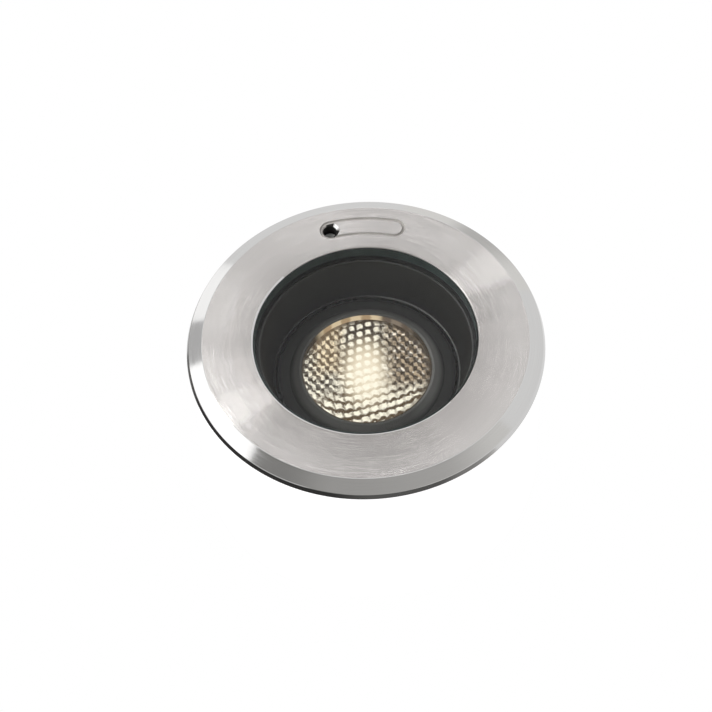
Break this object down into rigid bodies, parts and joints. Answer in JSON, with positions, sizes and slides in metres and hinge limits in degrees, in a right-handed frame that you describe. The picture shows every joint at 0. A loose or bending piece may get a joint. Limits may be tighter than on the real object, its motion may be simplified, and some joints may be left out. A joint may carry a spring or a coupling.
{
  "type": "recessed spotlight",
  "caption": "Round recessed spotlight with a bevelled steel trim ring, flush glass, black baffle and a lamp head that an outside screw tilts.",
  "frame": {"origin": "centre of the trim ring's underside, where the light rests on the surface that it is let into", "axes": "+Z the way the light leaves, out of the surface; +X and +Y across the ring, the adjuster's hole near +Y"},
  "size_m": [0.18, 0.18, 0.1236],
  "materials": {
    "turned_steel": "turned and brushed in circles",
    "bright_steel": "zinc plated",
    "spring_steel": "rolled",
    "brass": "machined",
    "cast_aluminium": "die cast",
    "black_coat": "matt",
    "grey_coat": "satin",
    "clear_glass": "polished",
    "lens": "pebbled",
    "reflector": "bright",
    "black_rubber": "matt",
    "grey_rubber": "matt",
    "white_board": "satin",
    "yellow_phosphor": "satin",
    "black_plastic": "moulded",
    "white_plastic": "moulded"
  },
  "bodies": {
    "light": {"trim_ring": "turned_steel", "upper_glass_gasket": "grey_rubber", "cover_glass": "clear_glass", "lower_glass_gasket": "black_rubber", "baffle": "black_coat", "housing": "cast_aluminium", "trim_screw_1": "bright_steel", "trim_screw_2": "bright_steel", "trim_screw_3": "bright_steel", "trim_screw_4": "bright_steel", "bracket_1": "bright_steel", "bracket_2": "bright_steel", "bracket_screw_1": "bright_steel", "bracket_screw_2": "bright_steel", "pivot_pin_1": "bright_steel", "pivot_pin_2": "bright_steel", "pivot_spacer_1": "brass", "pivot_spacer_2": "brass", "adjuster_bush": "black_plastic", "adjuster_o_ring": "black_rubber", "rear_cover": "cast_aluminium", "rear_cover_seal": "black_rubber", "cover_screw_1": "bright_steel", "cover_screw_2": "bright_steel", "cover_screw_3": "bright_steel", "cover_screw_4": "bright_steel", "driver_tray": "bright_steel", "led_driver": "black_plastic", "terminal_block": "white_plastic", "tray_screw_1": "bright_steel", "tray_screw_2": "bright_steel", "gland_body": "black_plastic", "gland_locknut": "black_plastic", "gland_nut": "black_plastic", "gland_seal": "grey_rubber", "spring_rivet_1": "bright_steel", "spring_rivet_2": "bright_steel", "spring_rivet_3": "bright_steel"},
    "lamp_head": {"bezel": "grey_coat", "lens": "lens", "reflector": "reflector", "heat_sink": "cast_aluminium", "led_board": "white_board", "led_emitter": "yellow_phosphor", "led_holder": "white_plastic", "tilt_lever": "bright_steel", "lever_screw_1": "bright_steel", "lever_screw_2": "bright_steel"},
    "adjuster": {"adjusting_screw": "bright_steel", "adjuster_clip": "spring_steel"},
    "traveller": {"traveller_nut": "brass"},
    "spring_1": {"clamp_spring_1": "spring_steel"},
    "spring_2": {"clamp_spring_2": "spring_steel"},
    "spring_3": {"clamp_spring_3": "spring_steel"}
  },
  "joints": [
    {"name": "lamp_tilt", "type": "hinge", "parent": "light", "child": "lamp_head", "pos_m": [0, 0, -0.029], "axis": [0.9744, 0.225, 0], "range_deg": [-15, 15]},
    {"name": "traveller_slide", "type": "slide", "parent": "light", "child": "traveller", "axis": [0, 0, 1], "range_m": [-0.0188, 0.0188]},
    {"name": "adjuster_turn", "type": "hinge", "parent": "light", "child": "adjuster", "pos_m": [-0.01579, 0.0684, -0.0004], "axis": [0, 0, 1], "range_deg": [-1690, 1690]},
    {"name": "spring_press_1", "type": "hinge", "parent": "light", "child": "spring_1", "pos_m": [0.06452, 0.04688, -0.06], "axis": [0.5878, -0.809, 0], "range_deg": [0, 3.5], "stiffness_Nm_per_rad": 0.1},
    {"name": "spring_press_2", "type": "hinge", "parent": "light", "child": "spring_2", "pos_m": [-0.07286, 0.03244, -0.06], "axis": [0.4067, 0.9135, 0], "range_deg": [0, 3.5], "stiffness_Nm_per_rad": 0.1},
    {"name": "spring_press_3", "type": "hinge", "parent": "light", "child": "spring_3", "pos_m": [0.00834, -0.07931, -0.06], "axis": [-0.9945, -0.1045, 0], "range_deg": [0, 3.5], "stiffness_Nm_per_rad": 0.1}
  ],
  "couplings": [
    {"joint": "traveller_slide", "follows": "lamp_tilt", "m_per_rad": 0.0716},
    {"joint": "adjuster_turn", "follows": "lamp_tilt", "ratio": -112.47}
  ]
}
